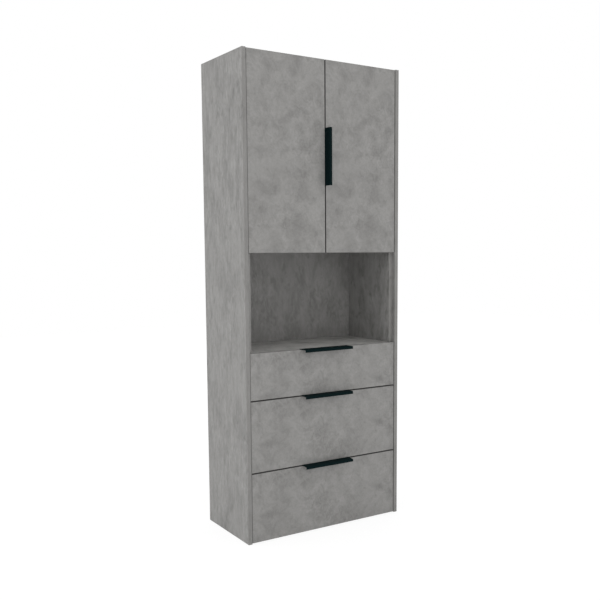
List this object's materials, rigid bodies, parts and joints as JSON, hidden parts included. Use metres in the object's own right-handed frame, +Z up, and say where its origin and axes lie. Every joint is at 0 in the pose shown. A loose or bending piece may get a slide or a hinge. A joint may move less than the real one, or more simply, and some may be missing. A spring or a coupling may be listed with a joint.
{
  "type": "tall cabinet",
  "caption": "Tall grey cabinet with hinged doors above an open niche above drawers, with black bent-sheet edge pulls.",
  "frame": {"origin": "middle of the footprint on the floor", "axes": "+Z up, +Y to the back, the fronts face -Y, +X to the right as seen from the front"},
  "size_m": [0.803, 0.44, 2.1],
  "materials": {
    "concrete_melamine": "melamine-faced particle board with a matt concrete print and matching edge band",
    "grey_hardboard": "hardboard, printed grey on its face",
    "grey_box_board": "foil-wrapped particle board, light grey",
    "black_powder_coat": "fine matt black powder coat",
    "nickel_plated_steel": "nickel plate",
    "coated_runner_steel": "light grey epoxy coat",
    "black_plastic": "moulded black polypropylene"
  },
  "bodies": {
    "carcass": {"adjustable_shelf": "concrete_melamine", "back_panel": "grey_hardboard", "bottom_cabinet_runner_left": "coated_runner_steel", "bottom_cabinet_runner_right": "coated_runner_steel", "bottom_panel": "concrete_melamine", "carcass_side_left": "concrete_melamine", "carcass_side_right": "concrete_melamine", "cover_panel_left": "concrete_melamine", "cover_panel_right": "concrete_melamine", "hinge_arm_left_lower": "nickel_plated_steel", "hinge_arm_left_upper": "nickel_plated_steel", "hinge_arm_right_lower": "nickel_plated_steel", "hinge_arm_right_upper": "nickel_plated_steel", "levelling_foot_left_back": "black_plastic", "levelling_foot_left_front": "black_plastic", "levelling_foot_right_back": "black_plastic", "levelling_foot_right_front": "black_plastic", "middle_cabinet_runner_left": "coated_runner_steel", "middle_cabinet_runner_right": "coated_runner_steel", "niche_back_panel": "concrete_melamine", "niche_floor_panel": "concrete_melamine", "niche_top_panel": "concrete_melamine", "shelf_pin_left_back": "nickel_plated_steel", "shelf_pin_left_front": "nickel_plated_steel", "shelf_pin_right_back": "nickel_plated_steel", "shelf_pin_right_front": "nickel_plated_steel", "top_cabinet_runner_left": "coated_runner_steel", "top_cabinet_runner_right": "coated_runner_steel", "top_panel": "concrete_melamine"},
    "left_door": {"hinge_cup_left_lower": "nickel_plated_steel", "hinge_cup_left_upper": "nickel_plated_steel", "left_door": "concrete_melamine"},
    "right_door": {"door_pull": "black_powder_coat", "hinge_cup_right_lower": "nickel_plated_steel", "hinge_cup_right_upper": "nickel_plated_steel", "right_door": "concrete_melamine"},
    "top_drawer": {"top_drawer_back": "grey_box_board", "top_drawer_bottom": "grey_hardboard", "top_drawer_front": "concrete_melamine", "top_drawer_pull": "black_powder_coat", "top_drawer_runner_left": "coated_runner_steel", "top_drawer_runner_right": "coated_runner_steel", "top_drawer_side_left": "grey_box_board", "top_drawer_side_right": "grey_box_board"},
    "middle_drawer": {"middle_drawer_back": "grey_box_board", "middle_drawer_bottom": "grey_hardboard", "middle_drawer_front": "concrete_melamine", "middle_drawer_pull": "black_powder_coat", "middle_drawer_runner_left": "coated_runner_steel", "middle_drawer_runner_right": "coated_runner_steel", "middle_drawer_side_left": "grey_box_board", "middle_drawer_side_right": "grey_box_board"},
    "bottom_drawer": {"bottom_drawer_back": "grey_box_board", "bottom_drawer_bottom": "grey_hardboard", "bottom_drawer_front": "concrete_melamine", "bottom_drawer_pull": "black_powder_coat", "bottom_drawer_runner_left": "coated_runner_steel", "bottom_drawer_runner_right": "coated_runner_steel", "bottom_drawer_side_left": "grey_box_board", "bottom_drawer_side_right": "grey_box_board"}
  },
  "joints": [
    {"name": "left_door_hinge", "type": "hinge", "parent": "carcass", "child": "left_door", "pos_m": [-0.381, -0.182, 1.6797], "axis": [0, 0, -1], "range_deg": [0, 110]},
    {"name": "right_door_hinge", "type": "hinge", "parent": "carcass", "child": "right_door", "pos_m": [0.381, -0.182, 1.6797], "axis": [0, 0, 1], "range_deg": [0, 110]},
    {"name": "top_drawer_slide", "type": "slide", "parent": "carcass", "child": "top_drawer", "axis": [0, -1, 0], "range_m": [0, 0.26]},
    {"name": "middle_drawer_slide", "type": "slide", "parent": "carcass", "child": "middle_drawer", "axis": [0, -1, 0], "range_m": [0, 0.26]},
    {"name": "bottom_drawer_slide", "type": "slide", "parent": "carcass", "child": "bottom_drawer", "axis": [0, -1, 0], "range_m": [0, 0.26]}
  ]
}
